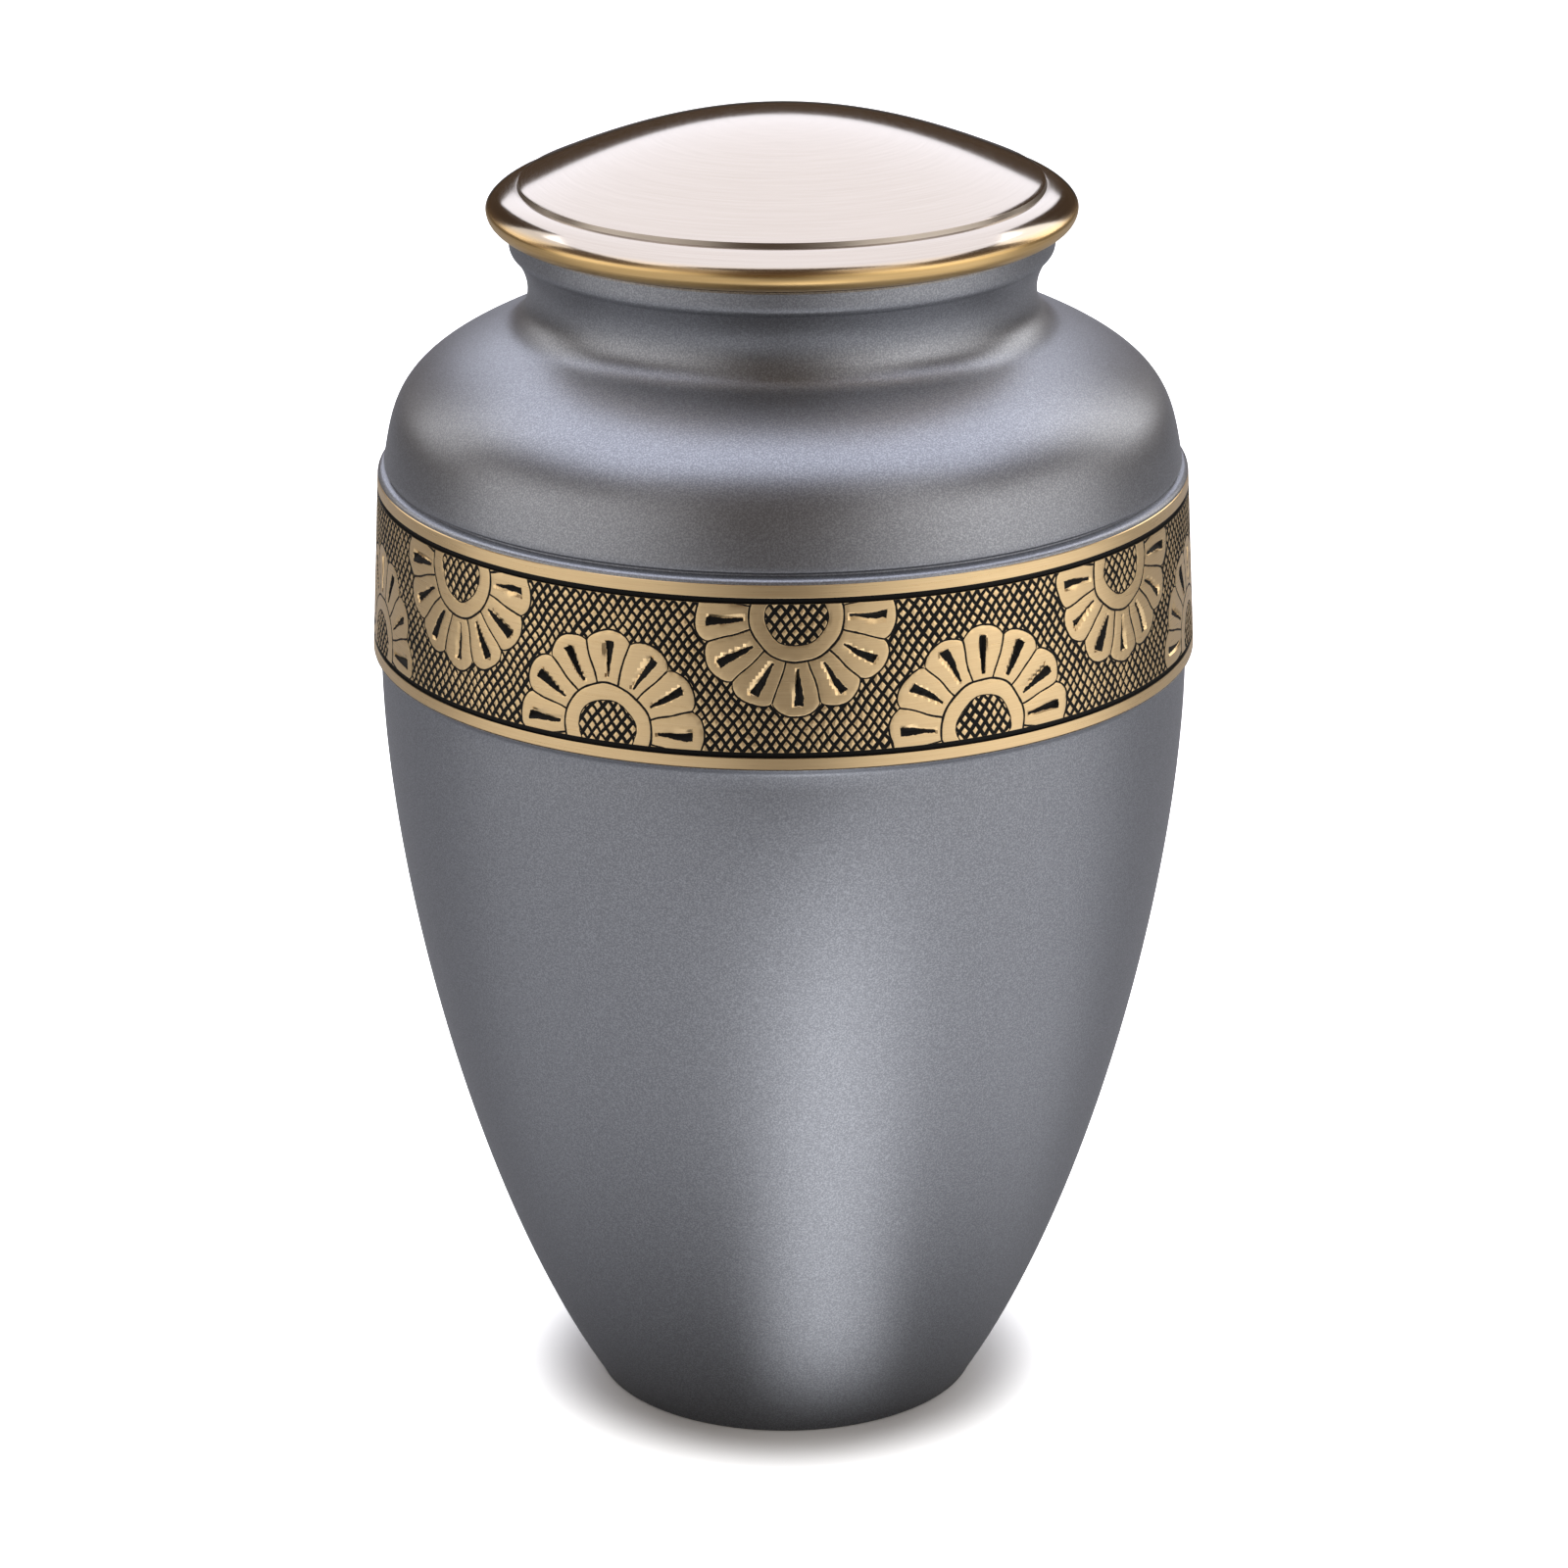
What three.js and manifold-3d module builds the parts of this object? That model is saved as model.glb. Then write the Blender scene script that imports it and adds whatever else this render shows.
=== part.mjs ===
import * as THREE from "three";
import { mergeVertices } from "three/addons/utils/BufferGeometryUtils.js";
import Module from "manifold-3d";

// Cremation urn in cast brass: a tapering vessel, painted but for the engraved frieze of half
// daisies round its widest part, and a domed lid that lifts out of the mouth.
// Millimetres, +Z up, origin at the centre of the underside, front towards -Y.

// Whole urn
const urnHeight = 260;
const wall = 2.2;
const floorThickness = 3.5;
const fitGap = 0.3;
const facets = 42;
const insideFacets = 28;

// Painted vessel below the frieze
const footRadius = 37.6;
const footRound = 0.9;
const bellyRadius = 79.1;
const bellyTop = 153.6;

// Frieze: a slightly conical band, cut back between two plain rims, with the daisies left proud
const bandBottom = 155.6;
const bandTop = 190.6;
const bandRadiusBottom = 80.6;
const bandRadiusTop = 78.9;
const lowerRim = 2.2;
const upperRim = 2.4;
const borderLine = 0.9;
const carvingDepth = 0.6;

// Half daisies, one row hanging from the top of the field and one standing on its foot
const daisiesPerRow = 7;
const petalsPerDaisy = 7;
const petalPitch = THREE.MathUtils.degToRad(29.2);
const petalTipHalfWidth = THREE.MathUtils.degToRad(7.6);
const petalTip = 18.9;
const petalValley = 16.3;
const eyeRadius = 5.6;
const eyeInset = 2.3;
const cutStart = 9.8;
const cutEnd = 16.8;
const cutWidth = 2.3;

// Shoulder, neck and collar
const lipHeight = 1;
const shoulderFoot = 192.4;
const shoulderRadius = 77.6;
const shoulderTop = 219;
const neckRadius = 49.1;
const neckHeight = 226.5;
const collarFoot = 233.5;
const collarRadius = 52.6;
const collarTop = 238.6;
const mouthRadius = neckRadius - wall;

// Lid
const lidUnderside = collarTop + fitGap;
const beadRadius = 56.9;
const beadHeight = 242.3;
const beadTop = 246.4;
const beadSeat = 53.3;
const domeRadius = 50.4;
const domeBulge = 0.00546;
const domeFlattening = 3.64e-5;
const riserFoot = 50.8;
const lidWall = 2.4;
const registerWall = 2.2;
const registerFoot = 229.9;
const registerRadius = mouthRadius - 0.6;
const registerChamfer = 0.6;

const wasm = await Module();
wasm.setup();

// A point of a turned profile: its radius and its height.
const at = (radius, height) => new THREE.Vector2(radius, height);

// Points along a cubic curve, without the first one, which ends the stretch before it.
function curve(start, bend1, bend2, end, steps) {
  return new THREE.CubicBezierCurve(start, bend1, bend2, end).getPoints(steps).slice(1);
}

// The profile turned round the Z axis.
function turned(profile, count) {
  return new THREE.LatheGeometry(profile, count).rotateX(Math.PI / 2);
}

// A closed geometry as a solid that can be cut and joined.
function solidOf(geometry) {
  geometry.deleteAttribute("normal");
  geometry.deleteAttribute("uv");
  const merged = mergeVertices(geometry, 1e-4);
  const mesh = new wasm.Mesh({
    numProp: 3,
    vertProperties: merged.attributes.position.array,
    triVerts: new Uint32Array(merged.index.array),
  });
  return new wasm.Manifold(mesh);
}

// A solid as a geometry that three.js draws, with flat facets.
function geometryOf(solid) {
  const mesh = solid.getMesh();
  const geometry = new THREE.BufferGeometry();
  geometry.setAttribute("position", new THREE.BufferAttribute(mesh.vertProperties, 3));
  geometry.setIndex(new THREE.BufferAttribute(mesh.triVerts, 1));
  const facetted = geometry.toNonIndexed();
  facetted.computeVertexNormals();
  return facetted;
}

// Radius of the frieze's face at a height.
function bandRadius(height) {
  const share = (height - bandBottom) / (bandTop - bandBottom);
  return THREE.MathUtils.lerp(bandRadiusBottom, bandRadiusTop, share);
}

// Height of the lid's outer dome at a radius: a shallow cap, flatter towards its edge.
function domeHeight(radius) {
  return urnHeight - domeBulge * radius ** 2 * (1 - domeFlattening * radius ** 2);
}

const fieldBottom = bandBottom + lowerRim;
const fieldTop = bandTop - upperRim;

// Guide points of the vessel's two long curves: foot to belly, and shoulder to neck.
const heel = at(footRadius + footRound, footRound);
const flankBends = [at(62.7, 38.9), at(79.4, 110)];
const belly = at(bellyRadius, bellyTop);
const shoulder = at(shoulderRadius, shoulderFoot + 0.6);
const shoulderBends = [at(75.6, 205), at(74.8, 210.2)];
const neckFoot = at(54.2, shoulderTop);

// A point of the outside moved in by one wall; rise is the share of that move that goes up.
function inward(point, rise = 0) {
  return at(point.x - wall * Math.sqrt(1 - rise ** 2), point.y + wall * rise);
}

// The vessel's outside, from the centre of the underside up to the collar, then in to the mouth.
function vesselOutside() {
  const neck = at(neckRadius, neckHeight);
  const collar = at(collarRadius - 1.1, collarFoot);
  return [
    at(0, 0),
    at(footRadius, 0),
    heel,
    ...curve(heel, ...flankBends, belly, 7),
    at(bandRadiusBottom, bandBottom),
    at(bandRadius(fieldBottom), fieldBottom),
    at(bandRadius(fieldBottom) - carvingDepth, fieldBottom),
    at(bandRadius(fieldTop) - carvingDepth, fieldTop),
    at(bandRadius(fieldTop), fieldTop),
    at(bandRadiusTop, bandTop),
    at(shoulderRadius, bandTop + lipHeight),
    at(shoulderRadius - 0.7, shoulderFoot - 0.3),
    shoulder,
    ...curve(shoulder, ...shoulderBends, neckFoot, 5),
    ...curve(neckFoot, at(50.9, 220.4), at(neckRadius, 222.7), neck, 2),
    ...curve(neck, at(neckRadius, 229), at(50, 231.4), collar, 2),
    at(collarRadius, collarFoot + 1.5),
    at(collarRadius, collarTop),
    at(0, collarTop),
  ];
}

// The hollow inside the vessel, one wall in from the outside, open at the mouth.
function vesselInside() {
  const flankRise = 0.54;
  const neckFall = -0.92;
  const hollowFoot = inward(heel, flankRise).add(at(0.8, 1.8));
  const hollowShoulder = inward(shoulder);
  const throat = inward(neckFoot, neckFall);
  const flank = [inward(flankBends[0], flankRise), inward(flankBends[1])];
  const dome = [inward(shoulderBends[0]), inward(shoulderBends[1], neckFall)];
  return [
    at(0, floorThickness),
    at(hollowFoot.x - 3, floorThickness),
    hollowFoot,
    ...curve(hollowFoot, ...flank, inward(belly), 3),
    hollowShoulder,
    ...curve(hollowShoulder, ...dome, throat, 3),
    at(mouthRadius, throat.y + 4),
    at(mouthRadius, collarTop + 1),
    at(0, collarTop + 1),
  ];
}

// One daisy's outline about its eye, with the petals hanging down: the eye and one chisel cut
// in each petal are holes. The straight top edge lies beyond the field and is trimmed by it.
function daisyShape() {
  const polar = (radius, angle) => at(radius * Math.sin(angle), -radius * Math.cos(angle));
  const middle = (petalsPerDaisy - 1) / 2;
  const outline = [];
  const cuts = [];
  for (let petal = -middle; petal <= middle; petal += 1) {
    const angle = petal * petalPitch;
    outline.push(polar(petalValley, angle - petalPitch / 2));
    outline.push(polar(petalTip, angle - petalTipHalfWidth));
    outline.push(polar(petalTip, angle + petalTipHalfWidth));
    if (petal === middle) outline.push(polar(petalValley, angle + petalPitch / 2));
    const spread = cutWidth / 2 / cutEnd;
    cuts.push([polar(cutStart, angle), polar(cutEnd, angle - spread), polar(cutEnd, angle + spread)]);
  }
  const shape = new THREE.Shape(outline);
  cuts.forEach((cut) => shape.holes.push(new THREE.Path(cut)));
  const eyeLimit = Math.PI / 2 + Math.asin((eyeInset + 0.4) / eyeRadius);
  const eyeSteps = 5;
  const eye = Array.from({ length: eyeSteps + 1 }, (_, step) =>
    polar(eyeRadius, THREE.MathUtils.lerp(-eyeLimit, eyeLimit, step / eyeSteps)),
  );
  shape.holes.push(new THREE.Path(eye));
  return shape;
}

// A daisy as a prism through the frieze's face: standing daisies are hanging ones upside down.
function daisyPrism(shape, angle, hanging) {
  const prismStart = bandRadiusTop - 6;
  const prism = new THREE.ExtrudeGeometry(shape, { depth: 12, bevelEnabled: false });
  prism.rotateX(Math.PI / 2);
  if (!hanging) prism.rotateY(Math.PI);
  const eyeHeight = hanging ? fieldTop - borderLine - eyeInset : fieldBottom + borderLine + eyeInset;
  prism.translate(0, -prismStart, eyeHeight);
  prism.rotateZ(angle);
  return solidOf(prism);
}

// The frieze's face between the two border lines, as a ring that the daisies are cut from.
function friezeRing() {
  const low = fieldBottom + borderLine;
  const high = fieldTop - borderLine;
  const inner = bandRadiusTop - 1.6;
  const section = [
    at(inner, low),
    at(bandRadius(low), low),
    at(bandRadius(high), high),
    at(inner, high),
    at(inner, low),
  ];
  return solidOf(turned(section, facets));
}

function daisies() {
  const shape = daisyShape();
  const spacing = (2 * Math.PI) / daisiesPerRow;
  const prisms = [];
  for (let count = 0; count < daisiesPerRow; count += 1) {
    prisms.push(daisyPrism(shape, count * spacing, true));
    prisms.push(daisyPrism(shape, (count + 0.5) * spacing, false));
  }
  return wasm.Manifold.union(prisms).intersect(friezeRing());
}

function vessel() {
  const outside = solidOf(turned(vesselOutside(), facets));
  const inside = solidOf(turned(vesselInside(), insideFacets));
  return geometryOf(outside.add(daisies()).subtract(inside));
}

// The lid's outside: dome, small riser, bead, the seat on the collar and the register below it.
function lidOutside() {
  const domeSteps = 4;
  const dome = Array.from({ length: domeSteps + 1 }, (_, step) => {
    const radius = (domeRadius * step) / domeSteps;
    return at(radius, domeHeight(radius));
  });
  const beadStart = at(riserFoot, beadTop);
  const beadNose = at(beadRadius, beadHeight);
  const seat = at(beadSeat, lidUnderside);
  const upward = [
    at(0, registerFoot),
    at(registerRadius - registerChamfer, registerFoot),
    at(registerRadius, registerFoot + registerChamfer),
    at(registerRadius, lidUnderside),
    seat,
    ...curve(seat, at(55.5, 239.1), at(beadRadius, 240.6), beadNose, 2),
    ...curve(beadNose, at(beadRadius, 243.9), at(53.4, 246.3), beadStart, 3),
  ];
  return [...upward, ...dome.reverse()];
}

// The hollow under the lid, one wall below the dome.
function lidInside() {
  const radius = registerRadius - registerWall;
  const steps = 3;
  const roof = Array.from({ length: steps + 1 }, (_, step) => {
    const reach = (radius * step) / steps;
    return at(reach, domeHeight(reach) - lidWall);
  });
  return [at(0, registerFoot - 1), at(radius, registerFoot - 1), ...roof.reverse()];
}

function lid() {
  const outside = solidOf(turned(lidOutside(), facets));
  const inside = solidOf(turned(lidInside(), insideFacets));
  return geometryOf(outside.subtract(inside));
}

const paintedBrass = new THREE.MeshStandardMaterial({
  color: 0x6d7078,
  roughness: 0.45,
  metalness: 0.6,
});

const brushedBrass = new THREE.MeshStandardMaterial({
  color: 0xc9a878,
  roughness: 0.28,
  metalness: 1,
});

function piece(name, geometry, material) {
  const mesh = new THREE.Mesh(geometry, material);
  mesh.name = name;
  return mesh;
}

const urn = new THREE.Group();
urn.add(piece("urn_body", vessel(), paintedBrass));
urn.add(piece("lid", lid(), brushedBrass));

export default urn;
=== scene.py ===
from math import atan2, cos, pi, radians, sin

import bpy
import numpy as np
from mathutils import Matrix, Vector


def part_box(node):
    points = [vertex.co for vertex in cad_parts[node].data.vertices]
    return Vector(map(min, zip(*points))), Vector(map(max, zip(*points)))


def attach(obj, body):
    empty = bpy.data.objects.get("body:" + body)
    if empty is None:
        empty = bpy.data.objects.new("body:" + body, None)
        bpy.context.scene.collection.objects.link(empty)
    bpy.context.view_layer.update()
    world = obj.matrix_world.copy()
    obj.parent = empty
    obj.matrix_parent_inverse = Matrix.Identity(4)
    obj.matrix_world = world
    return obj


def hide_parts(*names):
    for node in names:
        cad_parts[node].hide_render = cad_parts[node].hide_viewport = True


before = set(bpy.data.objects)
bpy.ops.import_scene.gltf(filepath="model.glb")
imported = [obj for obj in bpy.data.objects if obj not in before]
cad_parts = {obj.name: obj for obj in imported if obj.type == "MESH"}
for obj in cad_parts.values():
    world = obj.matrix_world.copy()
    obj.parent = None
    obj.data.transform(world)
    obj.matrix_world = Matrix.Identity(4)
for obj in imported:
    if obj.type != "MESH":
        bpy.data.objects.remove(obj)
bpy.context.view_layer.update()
scene = bpy.context.scene
mm = 0.001

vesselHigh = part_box("urn_body")[1]
lidLow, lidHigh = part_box("lid")
print("frame loaded, urn", round(lidHigh[2] / mm, 1), "mm tall")

# how turned meshes are shaded, and how they lie on the flat sheet that finishes are baked on
turning = {
    "sharpFrom": radians(14),
    "seamShare": 0.012,
    "sideMargin": 0.004,
    "endMargin": 0.02,
}


# points of a cubic curve from p0 to p3, without p0
def cubic(p0, p1, p2, p3, count):
    t = np.linspace(0, 1, count + 1)[1:, None]
    p0, p1, p2, p3 = (np.asarray(p, float) for p in (p0, p1, p2, p3))
    return (1 - t) ** 3 * p0 + 3 * (1 - t) ** 2 * t * p1 + 3 * (1 - t) * t**2 * p2 + t**3 * p3


# evenly spaced points from p0 to p1, without p0
def straight(p0, p1, count):
    t = np.linspace(0, 1, count + 1)[1:, None]
    return np.asarray(p0, float) * (1 - t) + np.asarray(p1, float) * t


# one block of a turned surface: rows of radius and height, each the same all round
def turnedBlock(profile, columns, finish, share):
    profile = np.asarray(profile, float)
    radius = np.repeat(profile[:, :1], columns, axis=1)
    height = np.repeat(profile[:, 1:], columns, axis=1)
    return {"radius": radius, "height": height, "turn": np.zeros_like(radius), "finish": finish,
            "share": share, "strips": 1}


# Places on the flat sheet for faces' corners, given how far round and how far along their block
# they are: one full-width strip of the sheet, or several one above the other.
def onSheet(around, along, floor, share, strips):
    side, end = turning["sideMargin"], turning["endMargin"]
    justUnder = 1e-6
    strip = np.floor(around.min(axis=1, keepdims=True) * strips + justUnder)
    across = side + (1 - 2 * side) * (around * strips - strip)
    return np.stack([across, floor + (strip + end + (1 - 2 * end) * along) * share / strips], -1)


# A turned mesh from blocks of rows. A point at column j of n stands at angle 2 pi j / n plus its
# own small turn: x = radius sin(angle), y = -radius cos(angle). Rows are joined by quads, a block
# with more columns by polygons that take in several of its points, and the two ends by fans.
def turnedMesh(name, blocks, materials):
    points, faces, finishes, maps, sheets, rings = [], [], [], [], [], []
    count, floor = 0, 0.0
    seamShare = turning["seamShare"]

    def addFaces(corners, around, along, level, finish, share, strips=1):
        faces.append(corners)
        finishes.append(np.full(len(corners), finish))
        maps.append(np.stack([around, level], -1).reshape(-1, 2))
        sheets.append(onSheet(around, along, floor, share, strips).reshape(-1, 2))

    for block in blocks:
        rows, columns = block["radius"].shape
        angle = 2 * pi * np.arange(columns) / columns + block["turn"]
        points.append(np.stack([block["radius"] * np.sin(angle),
                                -block["radius"] * np.cos(angle), block["height"]], -1).reshape(-1, 3))
        index = count + np.arange(rows * columns).reshape(rows, columns)
        right = np.roll(index, -1, axis=1)
        quads = np.stack([index[:-1], right[:-1], right[1:], index[1:]], -1).reshape(-1, 4)
        steps = np.hypot(np.diff(block["radius"][:, 0]), np.diff(block["height"][:, 0]))
        along = np.concatenate([[0], np.cumsum(steps)]) / steps.sum()
        level = block.get("level", along)
        column = np.tile(np.arange(columns), rows - 1)[:, None]
        row = np.repeat(np.arange(rows - 1), columns)[:, None]
        around = (column + np.array([0, 1, 1, 0])) / columns
        climb = row + np.array([0, 0, 1, 1])
        addFaces(quads, around, along[climb], level[climb], block["finish"], block["share"],
                 block["strips"])
        floor += block["share"]
        rings.append((index[0], index[-1], block["finish"]))
        count += rows * columns
    for (_, low, finishLow), (high, _, finishHigh) in zip(rings, rings[1:]):
        fine, coarse = (low, high) if len(low) > len(high) else (high, low)
        ratio = len(fine) // len(coarse)
        steps = np.arange(len(coarse))[:, None] * ratio + np.arange(ratio + 1)
        run = fine[steps % len(fine)]
        pair = np.stack([coarse, np.roll(coarse, -1)], -1)
        ends = np.arange(len(coarse))[:, None] + np.array([0, 1])
        if fine is low:
            corners = np.hstack([run, pair[:, ::-1]])
            around = np.hstack([steps / len(fine), ends[:, ::-1] / len(coarse)])
            along = np.repeat([0, 1], [ratio + 1, 2]) + 0.0 * around
        else:
            corners = np.hstack([pair, run[:, ::-1]])
            around = np.hstack([ends / len(coarse), steps[:, ::-1] / len(fine)])
            along = np.repeat([0, 1], [2, ratio + 1]) + 0.0 * around
        addFaces(corners, around, along, along, finishLow if fine is high else finishHigh, seamShare)
        floor += seamShare
    poles = []
    for ring, end, closing in ((rings[0][0], blocks[0]["height"][0, 0], False),
                               (rings[-1][1], blocks[-1]["height"][-1, 0], True)):
        poles.append([0, 0, end])
        tip = np.full(len(ring), count + len(poles) - 1)
        after = np.roll(ring, -1)
        corners = np.stack([ring, after, tip] if closing else [after, ring, tip], -1)
        shift = [0, 1, 0.5] if closing else [1, 0, 0.5]
        around = (np.arange(len(ring))[:, None] + np.array(shift)) / len(ring)
        along = np.array([0, 0, 1]) + 0.0 * around
        addFaces(corners, around, along, along, rings[-1 if closing else 0][2], seamShare)
        floor += seamShare
    mesh = bpy.data.meshes.new(name)
    everyPoint = np.vstack(points + [np.array(poles)]) * mm
    mesh.from_pydata(everyPoint.tolist(), [], [face for block in faces for face in block.tolist()])
    mesh.uv_layers.new(name="OFBake").data.foreach_set("uv", np.vstack(sheets).ravel())
    mesh.uv_layers.new(name="bandMap").data.foreach_set("uv", np.vstack(maps).ravel())
    mesh.polygons.foreach_set("material_index", np.concatenate(finishes).astype(np.int32))
    mesh.polygons.foreach_set("use_smooth", np.ones(len(mesh.polygons), bool))
    mesh.set_sharp_from_angle(angle=turning["sharpFrom"])
    for material in materials:
        mesh.materials.append(material)
    mesh.update()
    piece = bpy.data.objects.new(name, mesh)
    scene.collection.objects.link(piece)
    triangles = sum(len(block) * (block.shape[1] - 2) for block in faces)
    print(name, triangles, "triangles, sheet used to", round(floor, 3))
    return piece


# a number, a colour or another node's output into a socket
def link(tree, source, socket):
    if isinstance(source, bpy.types.NodeSocket):
        tree.links.new(source, socket)
    else:
        socket.default_value = source


# one maths node, over values that are numbers or sockets
def maths(tree, operation, *values):
    node = tree.nodes.new("ShaderNodeMath")
    node.operation = operation
    for value, socket in zip(values, node.inputs):
        link(tree, value, socket)
    return node.outputs[0]


def minus(tree, first, second):
    return maths(tree, "SUBTRACT", first, second)


# one operation over any number of values, one after another
def inTurn(tree, operation, result, others):
    for other in others:
        result = maths(tree, operation, result, other)
    return result


def times(tree, first, *others):
    return inTurn(tree, "MULTIPLY", first, others)


def largest(tree, first, *others):
    return inTurn(tree, "MAXIMUM", first, others)


def smallest(tree, first, *others):
    return inTurn(tree, "MINIMUM", first, others)


# start plus value times amount
def addShare(tree, start, value, amount):
    return maths(tree, "ADD", start, times(tree, value, amount))


# distance from the origin of two flat coordinates
def flatLength(tree, x, y):
    return maths(tree, "SQRT", maths(tree, "ADD", times(tree, x, x), times(tree, y, y)))


# 0 at low and 1 at high, with soft ends; low may be the larger of the two
def smoothStep(tree, value, low, high):
    node = tree.nodes.new("ShaderNodeMapRange")
    node.interpolation_type = "SMOOTHSTEP"
    link(tree, value, node.inputs["Value"])
    node.inputs["From Min"].default_value = low
    node.inputs["From Max"].default_value = high
    return node.outputs["Result"]


def mixColour(tree, factor, first, second):
    node = tree.nodes.new("ShaderNodeMix")
    node.data_type = "RGBA"
    link(tree, factor, node.inputs[0])
    link(tree, first, node.inputs[6])
    link(tree, second, node.inputs[7])
    return node.outputs[2]


def mixValue(tree, factor, first, second):
    node = tree.nodes.new("ShaderNodeMix")
    for value, socket in zip((factor, first, second), (node.inputs[0], node.inputs[2], node.inputs[3])):
        link(tree, value, socket)
    return node.outputs[0]


def objectPlace(tree):
    return tree.nodes.new("ShaderNodeTexCoord").outputs["Object"]


# the x, y and z of a vector
def apart(tree, vector):
    node = tree.nodes.new("ShaderNodeSeparateXYZ")
    tree.links.new(vector, node.inputs[0])
    return node.outputs


def together(tree, *values):
    node = tree.nodes.new("ShaderNodeCombineXYZ")
    for value, socket in zip(values, node.inputs):
        link(tree, value, socket)
    return node.outputs[0]


def noise(tree, vector, scale, detail=2.0, roughness=0.5, dimensions="3D", w=None):
    node = tree.nodes.new("ShaderNodeTexNoise")
    node.noise_dimensions = dimensions
    link(tree, vector, node.inputs["Vector"])
    node.inputs["Scale"].default_value = scale
    node.inputs["Detail"].default_value = detail
    node.inputs["Roughness"].default_value = roughness
    if w is not None:
        link(tree, w, node.inputs["W"])
    return node.outputs["Fac"]


def newGroup(name, inputs, outputs):
    tree = bpy.data.node_groups.new(name, "ShaderNodeTree")
    for label, value in inputs.items():
        socket = tree.interface.new_socket(label, in_out="INPUT", socket_type="NodeSocketFloat")
        socket.default_value = value
    for label in outputs:
        tree.interface.new_socket(label, in_out="OUTPUT", socket_type="NodeSocketFloat")
    return tree, tree.nodes.new("NodeGroupInput"), tree.nodes.new("NodeGroupOutput")


def useGroup(tree, group, **values):
    node = tree.nodes.new("ShaderNodeGroup")
    node.node_tree = group
    for label, value in values.items():
        link(tree, value, node.inputs[label])
    return node


def newMaterial(name):
    material = bpy.data.materials.new(name)
    material.use_nodes = True
    tree = material.node_tree
    return material, tree, tree.nodes["Principled BSDF"]


def bump(tree, height, strength, distance, normal=None):
    node = tree.nodes.new("ShaderNodeBump")
    node.inputs["Strength"].default_value = strength
    node.inputs["Distance"].default_value = distance
    tree.links.new(height, node.inputs["Height"])
    if normal is not None:
        tree.links.new(normal, node.inputs["Normal"])
    return node.outputs["Normal"]


# a bump is its strength and its depth in millimetres
paint = {
    "base": (0.268, 0.279, 0.308, 1),
    "flake": (0.427, 0.442, 0.488, 1),
    "flakeScale": 3200.0,
    "flakeShows": (0.35, 0.75),
    "flakeBump": (0.25, 0.05),
    "metal": 0.95,
    "roughness": 0.4,
    "unevenScale": 40.0,
    "unevenRoughness": 0.08,
}


# satin metallic paint: a grey ground with fine brighter flakes
def makePewterPaint():
    material, tree, shader = newMaterial("pewterPaint")
    place = objectPlace(tree)
    flakes = noise(tree, place, paint["flakeScale"], detail=1.0, roughness=0.8)
    sparkle = smoothStep(tree, flakes, *paint["flakeShows"])
    link(tree, mixColour(tree, sparkle, paint["base"], paint["flake"]), shader.inputs["Base Color"])
    shader.inputs["Metallic"].default_value = paint["metal"]
    uneven = noise(tree, place, paint["unevenScale"])
    smoothest = paint["roughness"] - paint["unevenRoughness"] / 2
    link(tree, addShare(tree, smoothest, uneven, paint["unevenRoughness"]), shader.inputs["Roughness"])
    strength, depth = paint["flakeBump"]
    link(tree, bump(tree, flakes, strength, depth * mm), shader.inputs["Normal"])
    return material


# Fine circular brushing: noise over radius and height, drawn out a long way round the axis.
# Fineness is streaks per millimetre and Drag how often a streak changes on its way round.
def makeTurnedGrain():
    tree, given, out = newGroup("turnedGrain", {"Fineness": 6.0, "Drag": 3.0}, ["Grain"])
    x, y, z = apart(tree, objectPlace(tree))
    radius = flatLength(tree, x, y)
    offAxis = maths(tree, "MAXIMUM", radius, 0.01 * mm)
    fineness = times(tree, given.outputs["Fineness"], 1 / mm)
    drag = given.outputs["Drag"]
    turnX, turnY = (times(tree, maths(tree, "DIVIDE", side, offAxis), drag) for side in (x, y))
    vector = together(tree, times(tree, radius, fineness), times(tree, z, fineness), turnX)
    grain = noise(tree, vector, 1.0, detail=3.0, roughness=0.6, dimensions="4D", w=turnY)
    link(tree, grain, out.inputs["Grain"])
    return tree


# the lid's brass, painted paler and greyer on top as a highlight, and the yellower brass of its foot and
# of the vessel's inside
turnedBrass = {
    # the lid's painted-highlight tones, paler and greyer than its own brass
    "bright": (0.505, 0.447, 0.391, 1),
    "deep": (0.472, 0.414, 0.358, 1),
    "footBright": (0.88, 0.61, 0.28, 1),
    "footDeep": (0.80, 0.53, 0.22, 1),
    "fineness": 5.0,
    "drag": 2.5,
    "toneRange": (0.3, 0.72),
    "streakRoughness": 0.08,
    "streakDepth": 0.02,
    # how much rougher the bead's foot and the low step under the dome are
    "duller": 0.18,
    "stepHeight": 246.85,
    "stepEdge": (0.5, 0.4),
    # the painted highlight, paler and greyer metal, starts this far over the bead's widest place and
    # fades in over this stretch; inside it would start over the top of the urn, so it doesn't show there
    "highlightOverBead": 1.2,
    "highlightFade": (-1.0, 0.8),
    "insideHighlightFrom": 400.0,
    "lid": {"strength": 0.2, "roughness": 0.12},
    "inside": {"strength": 0.6, "roughness": 0.34},
}
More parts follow.
